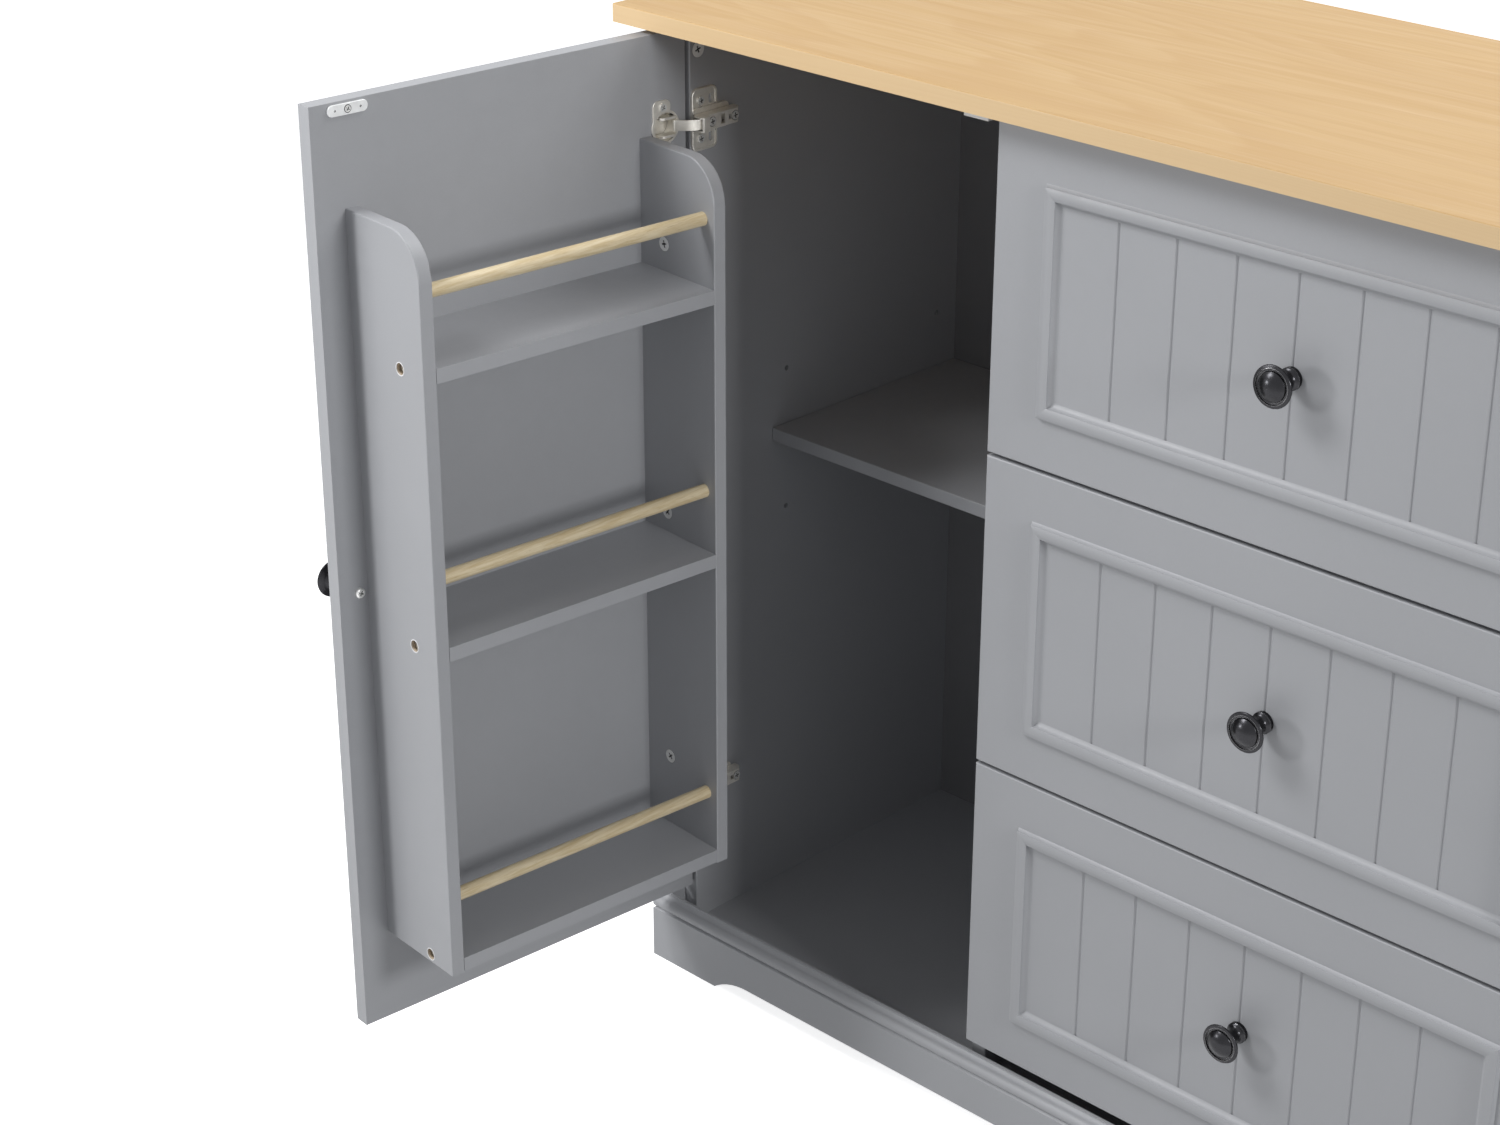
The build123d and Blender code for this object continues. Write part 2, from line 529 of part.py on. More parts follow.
arm_base = -SIDE_INNER + SPINE_THICKNESS
arm_back = -SIDE_INNER + ARM_HEIGHT
nose_back = -SIDE_INNER + NOSE_HEIGHT
arm_end = ARM_FRONT_Y + ARM_LENGTH
nose_end = ARM_FRONT_Y + NOSE_LENGTH
with BuildPart() as hinge_arms:
    for height in HINGE_HEIGHTS:
        with BuildSketch(Plane.XY.offset(height - ARM_WIDTH / 2)):
            with BuildLine():
                Polyline((arm_base, ARM_FRONT_Y + 3.5), (arm_base + 3.5, ARM_FRONT_Y),
                         (nose_back - 2.5, ARM_FRONT_Y), (nose_back, ARM_FRONT_Y + 2.5),
                         (nose_back, nose_end), (arm_back, nose_end + 2.5),
                         (arm_back, arm_end - 4), (arm_back - 3.5, arm_end),
                         (arm_base, arm_end), close=True)
            make_face()
        extrude(amount=ARM_WIDTH)
        with BuildSketch(Plane.XY.offset(height - ARM_WIDTH / 2 + ARM_WALL)):
            with BuildLine():
                Polyline((arm_base, ARM_FRONT_Y), (nose_back - ARM_WALL, ARM_FRONT_Y),
                         (nose_back - ARM_WALL, nose_end - 0.5),
                         (arm_back - ARM_WALL, nose_end + 2.0),
                         (arm_back - ARM_WALL, arm_end), (arm_base, arm_end), close=True)
            make_face()
        extrude(amount=ARM_WIDTH - 2 * ARM_WALL, mode=Mode.SUBTRACT)
    arm_top = face_plane(arm_back, 1)
    bore(arm_top, arm_screw_points, ARM_HEAD_HOLE, -2)
    with BuildSketch(arm_top):
        with Locations(*side_points([ARM_SLOT_Y], [0])):
            Rectangle(4.2, 8.0)
        with Locations(*side_points([ARM_SCREWS_Y[1] - 5.5], [0])):
            Rectangle(4.0, 4.4)
    extrude(amount=-2, mode=Mode.SUBTRACT)
    for height in HINGE_HEIGHTS:
        bore(Plane.XY.offset(height - ARM_WIDTH / 2), [LINK_PIN],
             LINK_PIN_RADIUS + PIN_CLEARANCE, ARM_WIDTH)
save(hinge_arms, "hinge_arms")

with BuildPart() as hinge_arm_screws:
    bore(face_plane(-SIDE_INNER, 1), arm_screw_points, ARM_SCREW_RADIUS, ARM_HEIGHT, Mode.ADD)
    bore(arm_top.offset(0.5), arm_screw_points, ARM_SCREW_HEAD, -3.0, Mode.ADD)
    cross_recess(arm_top.offset(0.5), arm_screw_points, 4.8, 1.5, turn=8)
save(hinge_arm_screws, "hinge_arm_screws")

with BuildPart() as hinge_link_pins:
    for height in HINGE_HEIGHTS:
        bore(Plane.XY.offset(height - ARM_WIDTH / 2), [LINK_PIN], LINK_PIN_RADIUS, ARM_WIDTH,
             Mode.ADD)
save(hinge_link_pins, "hinge_link_pins")

with BuildPart() as hinge_links:
    run = Vector(*LINK_TIP) - Vector(*LINK_PIN)
    bow_side = Vector(-run.Y, run.X).normalized()
    half_way = Vector(*LINK_PIN) + run / 2 + bow_side * LINK_BOW
    half = bow_side * (LINK_THICKNESS / 2)
    for height in HINGE_HEIGHTS:
        with BuildSketch(Plane.XY.offset(height - LINK_HALF_WIDTH)):
            with BuildLine():
                near = (Vector(*LINK_PIN) + half, half_way + half, Vector(*LINK_TIP) + half)
                far = (Vector(*LINK_PIN) - half, half_way - half, Vector(*LINK_TIP) - half)
                ThreePointArc(*near)
                ThreePointArc(*far)
                Line(near[0], far[0])
                Line(near[2], far[2])
            make_face()
            with Locations(LINK_PIN):
                Circle(LINK_EYE_RADIUS)
            with Locations(LINK_TIP):
                Circle(LINK_TIP_RADIUS)
            with Locations(LINK_PIN):
                Circle(LINK_PIN_RADIUS + 2 * PIN_CLEARANCE, mode=Mode.SUBTRACT)
        extrude(amount=2 * LINK_HALF_WIDTH)
save(hinge_links, "hinge_links")

# ---------------------------------------------------------------- runners in the drawer bay
RUNNER_HEIGHT = 36.0
RUNNER_DEPTH = 9.5
RUNNER_LENGTH = 300.0
RUNNER_WALL = 1.2
RUNNER_LIP = 4.5
SLIDE_THICKNESS = 12.7
SLIDE_HALF_HEIGHT = 12.2
SLIDE_INSET = 3.0
runner_front_y = CARCASS_FRONT_Y + 5
BOX_BOTTOM = 30.0            # drawer box above the bottom of its front
BOX_HEIGHT = 190.0
DRAWER_NAMES = ("bottom", "middle", "top")


def drawer_low(number):
    """Height of the bottom edge of a drawer's front, counted from the lowest drawer."""
    return FRONT_BOTTOM + number * (DRAWER_HEIGHT + FRONT_GAP)


def runner_line(x, height):
    """Plane square to the travel: local x is the depth off the wall at x, y the height."""
    towards = 1 if x < 0 else -1
    return Plane(origin=(x, runner_front_y, height), x_dir=(towards, 0, 0),
                 z_dir=(0, -towards, 0)), -towards * RUNNER_LENGTH


with BuildPart() as drawer_runners:
    for number in range(DRAWER_COUNT):
        for x in (DIVIDER_RIGHT, SIDE_INNER):
            section, run = runner_line(x, drawer_low(number) + BOX_BOTTOM + BOX_HEIGHT / 2)
            half = RUNNER_HEIGHT / 2
            with BuildSketch(section):
                with Locations((RUNNER_DEPTH / 2, 0)):
                    Rectangle(RUNNER_DEPTH, RUNNER_HEIGHT)
                with Locations((RUNNER_DEPTH / 2, 0)):
                    Rectangle(RUNNER_DEPTH - 2 * RUNNER_WALL, RUNNER_HEIGHT - 2 * RUNNER_WALL,
                              mode=Mode.SUBTRACT)
                with Locations((RUNNER_DEPTH, 0)):
                    Rectangle(3 * RUNNER_WALL, RUNNER_HEIGHT - 2 * RUNNER_LIP,
                              mode=Mode.SUBTRACT)
            extrude(amount=run)
save(drawer_runners, "drawer_runners")

# ---------------------------------------------------------------- fronts
MOULD_SIDE = 47.0            # flat stile outside the moulding
MOULD_RAIL = 41.0            # flat rail outside the moulding
MOULD_WIDTH = 15.0
MOULD_RISE = 4.4             # the bead stands this far proud of the frame
FIELD_DROP = 1.5             # the field lies this far below the frame
GROOVE_HALF_WIDTH = 1.7
GROOVE_DEPTH = 1.1
KNOB_HOLE_RADIUS = 2.5
EMBED = 2.0


def framed_front(base, width, height, board_count):
    """A board front with a raised moulding round a field of grooved boards.

    base lies on the front's inner face, at its lower left corner, and its normal
    points out of the cabinet.
    """
    face = base.offset(BOARD)
    middle = (width / 2, height / 2)
    with BuildSketch(base) as outline:
        with Locations(middle):
            Rectangle(width, height)
    extrude(outline.sketch, amount=BOARD)
    rim = edges().filter_by(lambda edge: base.to_local_coords(edge.center()).Z > BOARD - 0.01)
    fillet(rim, EDGE_EASE)
    field_width = width - 2 * (MOULD_SIDE + MOULD_WIDTH)
    field_height = height - 2 * (MOULD_RAIL + MOULD_WIDTH)
    with BuildSketch(face) as pocket:
        with Locations(middle):
            Rectangle(field_width + MOULD_WIDTH, field_height + MOULD_WIDTH)
    extrude(pocket.sketch, amount=-FIELD_DROP, mode=Mode.SUBTRACT)
    left, right = MOULD_SIDE, width - MOULD_SIDE
    low, high = MOULD_RAIL, height - MOULD_RAIL
    with BuildLine(face) as ring:
        Polyline((width / 2, low), (right, low), (right, high), (left, high), (left, low),
                 close=True)
    start = face.from_local_coords((width / 2, low, 0))
    with BuildSketch(Plane(origin=start, x_dir=face.y_dir, z_dir=face.x_dir)) as section:
        with BuildLine():
            Line((0, -EMBED), (0, 0))
            ThreePointArc((0, 0), (1.2, 1.6), (1.8, MOULD_RISE - 0.6))
            ThreePointArc((1.8, MOULD_RISE - 0.6), (6.2, MOULD_RISE), (11.0, MOULD_RISE - 1.0))
            ThreePointArc((11.0, MOULD_RISE - 1.0), (12.2, 0.4), (MOULD_WIDTH, -FIELD_DROP))
            Polyline((MOULD_WIDTH, -FIELD_DROP), (MOULD_WIDTH, -EMBED), (0, -EMBED))
        make_face()
    sweep(section.sketch, path=ring.wire(), transition=Transition.RIGHT)
    groove_end = face.from_local_coords((0, low + MOULD_WIDTH - 1, -FIELD_DROP))
    pitch = field_width / board_count
    with BuildSketch(Plane(origin=groove_end, x_dir=face.x_dir, z_dir=-face.y_dir)) as grooves:
        for number in range(1, board_count):
            seam = left + MOULD_WIDTH + number * pitch
            with BuildLine():
                Polyline((seam - GROOVE_HALF_WIDTH, 0), (seam, -GROOVE_DEPTH),
                         (seam + GROOVE_HALF_WIDTH, 0), close=True)
            make_face()
    extrude(grooves.sketch, amount=-(field_height + 2), mode=Mode.SUBTRACT)


def knob(face, spot, base_height):
    """A turned knob: collar, waisted neck, thin rim, ring groove and dome.

    face is the outer face of the front, spot the knob's centre on it, and
    base_height the collar's seat, measured from that face.
    """
    centre = face.from_local_coords((*spot, 0))
    dome_rise = 4.8
    dome_foot = KNOB_HEIGHT - dome_rise
    dome_half = KNOB_DOME_RADIUS / 2
    sphere = (KNOB_DOME_RADIUS ** 2 + dome_rise ** 2) / (2 * dome_rise)
    dome_bulge = math.sqrt(sphere ** 2 - dome_half ** 2) - (sphere - dome_rise)
    with BuildSketch(Plane(origin=centre, x_dir=face.x_dir, z_dir=-face.y_dir)) as section:
        with BuildLine():
            Polyline((0, base_height), (8.6, base_height), (8.6, 1.6), (7.9, 2.4))
            ThreePointArc((7.9, 2.4), (6.2, 4.0), (5.4, 7.0))
            ThreePointArc((5.4, 7.0), (6.6, 13.4), (12.0, 18.6))
            Line((12.0, 18.6), (15.4, 20.6))
            ThreePointArc((15.4, 20.6), (16.0, 21.5), (15.5, 22.4))
            Polyline((15.5, 22.4), (13.4, 22.9), (13.0, 22.0), (11.7, 22.0),
                     (KNOB_DOME_RADIUS, dome_foot))
            ThreePointArc((KNOB_DOME_RADIUS, dome_foot), (dome_half, dome_foot + dome_bulge),
                          (0, KNOB_HEIGHT))
            Line((0, KNOB_HEIGHT), (0, base_height))
        make_face()
    revolve(section.sketch, axis=Axis(centre, face.z_dir))
    bore(face.offset(base_height), [spot], KNOB_SCREW_RADIUS + PIN_CLEARANCE, KNOB_THREAD)


def knob_screw(face, spot, base_height, back_depth):
    """The screw that holds a knob from behind a stack of boards back_depth thick."""
    back = face.offset(-back_depth)
    bore(back, [spot], KNOB_SCREW_RADIUS, back_depth + base_height + KNOB_THREAD - 1, Mode.ADD)
    head = back.offset(-KNOB_SCREW_HEAD_HEIGHT)
    bore(back, [spot], KNOB_SCREW_HEAD_RADIUS, -KNOB_SCREW_HEAD_HEIGHT, Mode.ADD)
    rim = edges().filter_by(lambda edge: abs(head.to_local_coords(edge.center()).Z) < 0.01)
    fillet(rim, 1.6)
    cross_recess(head, [spot], 4.4, -1.4, turn=25)


KNOB_HEIGHT = 28.0
KNOB_DOME_RADIUS = 11.2
KNOB_SCREW_RADIUS = 2.0
KNOB_THREAD = 11.0
KNOB_SCREW_HEAD_RADIUS = 4.4
KNOB_SCREW_HEAD_HEIGHT = 2.8
DOOR_KNOB = (339.0, 400.5)
DOOR_FACE = DOOR.offset(BOARD)

CUP_FROM_EDGE = 21.5
CUP_RADIUS = 13.0
CUP_DEPTH = 13.0
CUP_WALL = 0.8
CUP_FLANGE = 1.2
CUP_SCREW_SPACING = 34.0
CUP_SCREW_FROM_EDGE = 24.5
CUP_SCREW_HEAD_RADIUS = 3.4
CUP_SCREW_HEAD_HEIGHT = 1.2
CUP_POINTS = [(CUP_FROM_EDGE, height - FRONT_BOTTOM) for height in HINGE_HEIGHTS]
CUP_SCREW_POINTS = [(CUP_SCREW_FROM_EDGE, height - FRONT_BOTTOM + side * CUP_SCREW_SPACING / 2)
                    for height in HINGE_HEIGHTS for side in (-1, 1)]
STRIKE_POINT = (STRIKE_FROM_EDGE, STRIKE_Z - FRONT_BOTTOM)

with BuildPart() as door_panel:
    framed_front(DOOR, DOOR_WIDTH, STACK_HEIGHT, 5)
    bore(DOOR, CUP_POINTS, CUP_RADIUS, CUP_DEPTH)
    bore(DOOR, CUP_SCREW_POINTS, SMALL_SCREW_RADIUS, SMALL_SCREW_DEPTH)
    bore(DOOR, [STRIKE_POINT], SMALL_SCREW_RADIUS, SMALL_SCREW_DEPTH)
    bore(DOOR, [DOOR_KNOB], KNOB_HOLE_RADIUS, BOARD)
save(door_panel, "door_panel")

with BuildPart() as door_knob:
    knob(DOOR_FACE, DOOR_KNOB, 0)
save(door_knob, "door_knob")

with BuildPart() as door_knob_screw:
    knob_screw(DOOR_FACE, DOOR_KNOB, 0, BOARD)
save(door_knob_screw, "door_knob_screw")

# ---------------------------------------------------------------- door side of the hinges
CHEEK_RISE = 3.6
CHEEK_OFFSET = 7.6
CHEEK_THICKNESS = 2.0
FLANGE_WIDTH = 18.5
FLANGE_LENGTH = 46.0
FLANGE_FROM_EDGE = 25.5
CUP_LIP = 1.4

with BuildPart() as hinge_cups:
    with BuildSketch(DOOR):
        with Locations(*[(FLANGE_FROM_EDGE, z) for s, z in CUP_POINTS]):
            RectangleRounded(FLANGE_WIDTH, FLANGE_LENGTH, 5)
        with Locations(*CUP_POINTS):
            Circle(CUP_RADIUS + CUP_LIP)
    extrude(amount=-CUP_FLANGE)
    fillet(edges().filter_by(lambda edge: depth_off_door(edge) > CUP_FLANGE - 0.05), 0.5)
    bore(DOOR.offset(-CUP_FLANGE), CUP_POINTS, CUP_RADIUS - PIN_CLEARANCE,
         CUP_FLANGE + CUP_DEPTH - 0.1, Mode.ADD)
    bore(DOOR.offset(-CUP_FLANGE), CUP_POINTS, CUP_RADIUS - CUP_WALL,
         CUP_FLANGE + CUP_DEPTH - CUP_WALL)
    for height in HINGE_HEIGHTS:
        for side in (-1, 1):
            low = height - FRONT_BOTTOM + side * CHEEK_OFFSET - CHEEK_THICKNESS / 2
            with BuildSketch(level_with_door(low)):
                with BuildLine():
                    Polyline((11.5, 1.0), (11.5, -4), (28, -4), (28, 0.5))
                    ThreePointArc((28, 0.5), (26.5, 2.6), (23.5, CHEEK_RISE))
                    Line((23.5, CHEEK_RISE), (14.5, CHEEK_RISE))
                    ThreePointArc((14.5, CHEEK_RISE), (12.4, 2.8), (11.5, 1.0))
                make_face()
            extrude(amount=CHEEK_THICKNESS)
    bore(DOOR, CUP_SCREW_POINTS, SMALL_SCREW_RADIUS, -CUP_FLANGE)
save(hinge_cups, "hinge_cups")

with BuildPart() as hinge_cup_screws:
    flange_face = DOOR.offset(-CUP_FLANGE)
    bore(flange_face, CUP_SCREW_POINTS, SMALL_SCREW_RADIUS - PIN_CLEARANCE,
         CUP_FLANGE + SMALL_SCREW_DEPTH - 1, Mode.ADD)
    bore(flange_face, CUP_SCREW_POINTS, CUP_SCREW_HEAD_RADIUS, -CUP_SCREW_HEAD_HEIGHT, Mode.ADD)
    head_top = flange_face.offset(-CUP_SCREW_HEAD_HEIGHT)
    cross_recess(head_top, CUP_SCREW_POINTS, 4.0, -0.9, turn=30)
save(hinge_cup_screws, "hinge_cup_screws")

STRIKE_LENGTH = 36.0
STRIKE_HEIGHT = 9.0
STRIKE_THICKNESS = 1.8
STRIKE_DIMPLE_OFFSET = 11.4
STRIKE_DIMPLE_RADIUS = 0.9
STRIKE_DIMPLE_DEPTH = 0.8
STRIKE_HEAD_RADIUS = 3.2
STRIKE_HEAD_SINK = 1.1
with BuildPart() as strike_plate:
    with BuildSketch(DOOR):
        with Locations(STRIKE_POINT):
            SlotOverall(STRIKE_LENGTH, STRIKE_HEIGHT)
    extrude(amount=-STRIKE_THICKNESS)
    strike_face = DOOR.offset(-STRIKE_THICKNESS)
    fillet(edges().filter_by(lambda edge: depth_off_door(edge) > STRIKE_THICKNESS - 0.05), 0.4)
    bore(DOOR, [STRIKE_POINT], SMALL_SCREW_RADIUS, -STRIKE_THICKNESS)
    bore(strike_face, [STRIKE_POINT], STRIKE_HEAD_RADIUS, STRIKE_HEAD_SINK)
    dimples = [(STRIKE_POINT[0] + side * STRIKE_DIMPLE_OFFSET, STRIKE_POINT[1]) for side in (-1, 1)]
    bore(strike_face, dimples, STRIKE_DIMPLE_RADIUS, STRIKE_DIMPLE_DEPTH)
save(strike_plate, "strike_plate")

with BuildPart() as strike_plate_screw:
    bore(strike_face, [STRIKE_POINT], SMALL_SCREW_RADIUS - PIN_CLEARANCE,
         STRIKE_THICKNESS + SMALL_SCREW_DEPTH - 1, Mode.ADD)
    bore(strike_face.offset(-0.3), [STRIKE_POINT], STRIKE_HEAD_RADIUS - 2 * CAM_SLIP,
         STRIKE_HEAD_SINK + 0.3, Mode.ADD)
    cross_recess(strike_face.offset(-0.3), [STRIKE_POINT], 3.4, -0.9, turn=35)
save(strike_plate_screw, "strike_plate_screw")

# ---------------------------------------------------------------- rack on the door
RACK_DEPTH = 94.0
RACK_BOTTOM = 83.0
RACK_TOP = 718.0
RACK_CORNER_RADIUS = 36.0
RACK_SIDES = (36.0, 319.0)   # hinge-side face of each rack side, from the hinge edge
RACK_SHELF_TOPS = {"top": 613.0, "middle": 380.0, "bottom": 96.0}
RAIL_HEIGHTS = (148.5, 434.0, 670.0)
RAIL_FROM_DOOR = 80.0
RAIL_RADIUS = 5.75
RAIL_SOCKET = 6.0
RACK_CAM_HEIGHTS = (163.0, 398.0, 636.0)
RACK_CAM_FROM_DOOR = 30.0
RACK_CAM_RADIUS = 6.5
RACK_CAM_DEPTH = 8.5
RACK_CAM_TURNS = (40, 50, 15)  # each cam is left at its own angle
RACK_SCREW_FROM_DOOR = 63.0
RACK_SCREW_LENGTH = 34.0
RACK_SCREW_HEAD = 4.9
RACK_SCREW_SINK = 6.4
RACK_SCREW_HEAD_THICKNESS = 2.6
RACK_SCREW_RADIUS = 2.2
rack_rail_points = [(RAIL_FROM_DOOR, z) for z in RAIL_HEIGHTS]
rack_cam_points = [(RACK_CAM_FROM_DOOR, z) for z in RACK_CAM_HEIGHTS]
rack_screw_points = [(RACK_SCREW_FROM_DOOR, top - THIN_BOARD / 2)
                     for top in RACK_SHELF_TOPS.values()]


def rack_side(near, inner):
    """A rack side from near to near + THIN_BOARD; inner is its face towards the shelves."""
    inward = -1 if inner > near else 1
    outer = inner + inward * THIN_BOARD
    with BuildSketch(across_door(near)) as outline:
        with Locations((RACK_DEPTH / 2, (RACK_BOTTOM + RACK_TOP) / 2)):
            Rectangle(RACK_DEPTH, RACK_TOP - RACK_BOTTOM)
        fillet(outline.vertices().group_by(Axis.Y)[-1].sort_by(Axis.X)[-1], RACK_CORNER_RADIUS)
    extrude(outline.sketch, amount=THIN_BOARD)
    front = edges().filter_by(lambda edge: depth_off_door(edge) > RACK_DEPTH - 0.1)
    fillet(front.filter_by(Axis.Z), 1.0)
    bore(across_door(inner), rack_rail_points, RAIL_RADIUS + PIN_CLEARANCE,
         inward * RAIL_SOCKET)
    bore(across_door(inner), rack_cam_points, RACK_CAM_RADIUS, inward * RACK_CAM_DEPTH)
    bore(across_door(inner), rack_screw_points, RACK_SCREW_RADIUS, inward * THIN_BOARD)
    bore(across_door(outer), rack_screw_points, RACK_SCREW_HEAD, -inward * RACK_SCREW_SINK)


RACK_HINGE_INNER = RACK_SIDES[0] + THIN_BOARD
RACK_FREE_INNER = RACK_SIDES[1]
RACK_INNERS = ((RACK_HINGE_INNER, -1), (RACK_FREE_INNER, 1))

with BuildPart() as rack_side_hinge:
    rack_side(RACK_SIDES[0], RACK_HINGE_INNER)
save(rack_side_hinge, "rack_side_hinge")

with BuildPart() as rack_side_free:
    rack_side(RACK_SIDES[1], RACK_FREE_INNER)
save(rack_side_free, "rack_side_free")

for level, top in RACK_SHELF_TOPS.items():
    with BuildPart() as rack_shelf:
        with BuildSketch(across_door(RACK_HINGE_INNER)):
            with Locations((RACK_DEPTH / 2, top - THIN_BOARD / 2)):
                Rectangle(RACK_DEPTH, THIN_BOARD)
        extrude(amount=RACK_FREE_INNER - RACK_HINGE_INNER)
        for inner, inward in RACK_INNERS:
            bore(across_door(inner), [(RACK_SCREW_FROM_DOOR, top - THIN_BOARD / 2)],
                 RACK_SCREW_RADIUS, -inward * (RACK_SCREW_LENGTH - THIN_BOARD))
    save(rack_shelf, f"rack_shelf_{level}")

with BuildPart() as rack_rails:
    rail_end = RACK_HINGE_INNER - RAIL_SOCKET + CAM_TOP_GAP
    bore(across_door(rail_end), rack_rail_points, RAIL_RADIUS,
         RACK_FREE_INNER + RAIL_SOCKET - CAM_TOP_GAP - rail_end, Mode.ADD)
save(rack_rails, "rack_rails")

with BuildPart() as rack_cam_locks:
    for inner, inward in RACK_INNERS:
        bore(across_door(inner), rack_cam_points, RACK_CAM_RADIUS - CAM_SLIP,
             inward * (RACK_CAM_DEPTH - CAM_TOP_GAP), Mode.ADD)
        for spot, turn in zip(rack_cam_points, RACK_CAM_TURNS):
            cross_recess(across_door(inner), [spot], 6.0, -inward * 2.2, turn)
save(rack_cam_locks, "rack_cam_locks")

with BuildPart() as rack_screws:
    for inner, inward in RACK_INNERS:
        seat = across_door(inner + inward * (THIN_BOARD - RACK_SCREW_SINK))
        bore(seat, rack_screw_points, RACK_SCREW_RADIUS - PIN_CLEARANCE,
             -inward * (RACK_SCREW_LENGTH - RACK_SCREW_SINK - 1), Mode.ADD)
        bore(seat, rack_screw_points, RACK_SCREW_HEAD - CAM_SLIP,
             inward * RACK_SCREW_HEAD_THICKNESS, Mode.ADD)
        cross_recess(seat.offset(inward * RACK_SCREW_HEAD_THICKNESS), rack_screw_points, 4.6,
                     inward * 1.4)
save(rack_screws, "rack_screws")

# ---------------------------------------------------------------- drawers
BOX_LEFT = DIVIDER_RIGHT + SLIDE_THICKNESS
BOX_RIGHT = SIDE_INNER - SLIDE_THICKNESS
BOX_BACK_Y = FRONT_INNER_Y + 320.0
BASE_THICKNESS = 4.0
BASE_RISE = 10.0             # drawer base above the lower edge of its box
BASE_GROOVE = 6.0
BASE_SLIP = 0.2


def drawer_front_plane(number):
    """Inner face of a drawer's front, from its lower left corner, facing outwards."""
    return Plane(origin=(DRAWER_LEFT, FRONT_INNER_Y, drawer_low(number)), x_dir=(1, 0, 0),
                 z_dir=(0, -1, 0))


for number, level in enumerate(DRAWER_NAMES):
    front_plane = drawer_front_plane(number)
    front_face = front_plane.offset(BOARD)
    knob_spot = (DRAWER_WIDTH / 2, DRAWER_HEIGHT / 2)
    box_low = drawer_low(number) + BOX_BOTTOM
    base_low = box_low + BASE_RISE

    with BuildPart() as drawer_front:
        framed_front(front_plane, DRAWER_WIDTH, DRAWER_HEIGHT, 8)
        bore(front_plane, [knob_spot], KNOB_HOLE_RADIUS, BOARD)
    save(drawer_front, f"drawer_front_{level}")

    with BuildPart() as drawer_box:
        board(BOX_LEFT, BOX_RIGHT, FRONT_INNER_Y, BOX_BACK_Y, box_low, box_low + BOX_HEIGHT)
        board(BOX_LEFT + THIN_BOARD, BOX_RIGHT - THIN_BOARD, FRONT_INNER_Y + THIN_BOARD,
              BOX_BACK_Y - THIN_BOARD, box_low, box_low + BOX_HEIGHT, Mode.SUBTRACT)
        board(BOX_LEFT + BASE_GROOVE, BOX_RIGHT - BASE_GROOVE, FRONT_INNER_Y + BASE_GROOVE,
              BOX_BACK_Y - BASE_GROOVE, base_low - BASE_SLIP,
              base_low + BASE_THICKNESS + BASE_SLIP, Mode.SUBTRACT)
        bore(front_plane, [knob_spot], KNOB_HOLE_RADIUS, -THIN_BOARD)
    save(drawer_box, f"drawer_box_{level}")

    with BuildPart() as drawer_base:
        inset = BASE_GROOVE + BASE_SLIP
        board(BOX_LEFT + inset, BOX_RIGHT - inset, FRONT_INNER_Y + inset, BOX_BACK_Y - inset,
              base_low, base_low + BASE_THICKNESS)
    save(drawer_base, f"drawer_base_{level}")

    with BuildPart() as drawer_knob:
        knob(front_face, knob_spot, -FIELD_DROP)
    save(drawer_knob, f"drawer_knob_{level}")

    with BuildPart() as drawer_knob_screw:
        knob_screw(front_face, knob_spot, -FIELD_DROP, BOARD + THIN_BOARD)
    save(drawer_knob_screw, f"drawer_knob_screw_{level}")

    with BuildPart() as drawer_slides:
        for x in (DIVIDER_RIGHT, SIDE_INNER):
            section, run = runner_line(x, box_low + BOX_HEIGHT / 2)
            span = SLIDE_THICKNESS - SLIDE_INSET
            with BuildSketch(section):
                with Locations((SLIDE_INSET + span / 2, 0)):
                    Rectangle(span, 2 * SLIDE_HALF_HEIGHT)
                with Locations((SLIDE_INSET + span / 2 - RUNNER_WALL, 0)):
                    Rectangle(span, 2 * (SLIDE_HALF_HEIGHT - RUNNER_WALL), mode=Mode.SUBTRACT)
            extrude(amount=run)
    save(drawer_slides, f"drawer_slides_{level}")

print(len(nodes), "nodes")
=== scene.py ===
"""Looks for the pantry cabinet: procedural materials, bare bores, camera and studio light."""
import json
import math

import bmesh
import bpy
from mathutils import Matrix, Vector


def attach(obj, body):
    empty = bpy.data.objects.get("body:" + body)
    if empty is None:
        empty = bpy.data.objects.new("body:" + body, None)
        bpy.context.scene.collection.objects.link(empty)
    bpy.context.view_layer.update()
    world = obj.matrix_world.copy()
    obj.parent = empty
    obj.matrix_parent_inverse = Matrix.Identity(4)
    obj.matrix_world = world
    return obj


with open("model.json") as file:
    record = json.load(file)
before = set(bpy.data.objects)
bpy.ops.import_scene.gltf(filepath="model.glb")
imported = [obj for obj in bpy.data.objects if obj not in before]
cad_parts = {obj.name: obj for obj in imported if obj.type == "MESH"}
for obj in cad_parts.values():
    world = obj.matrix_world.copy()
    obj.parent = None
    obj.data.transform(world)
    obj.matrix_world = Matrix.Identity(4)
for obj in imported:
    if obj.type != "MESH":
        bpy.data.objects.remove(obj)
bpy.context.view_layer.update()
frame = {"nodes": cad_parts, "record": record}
nodes = frame["nodes"]
scene = bpy.context.scene
scene.view_settings.view_transform = "Standard"


# ---------------------------------------------------------------- node helpers
BEVEL_SAMPLES = 6
SHADE_SAMPLES = 8
# Near-black colour of the painted shade in narrow recesses.
PAINTED_SHADE_TONE = (0.012, 0.012, 0.013)


def scaled(tone, share):
    """A tone made darker or lighter."""
    return tuple(channel * share for channel in tone)


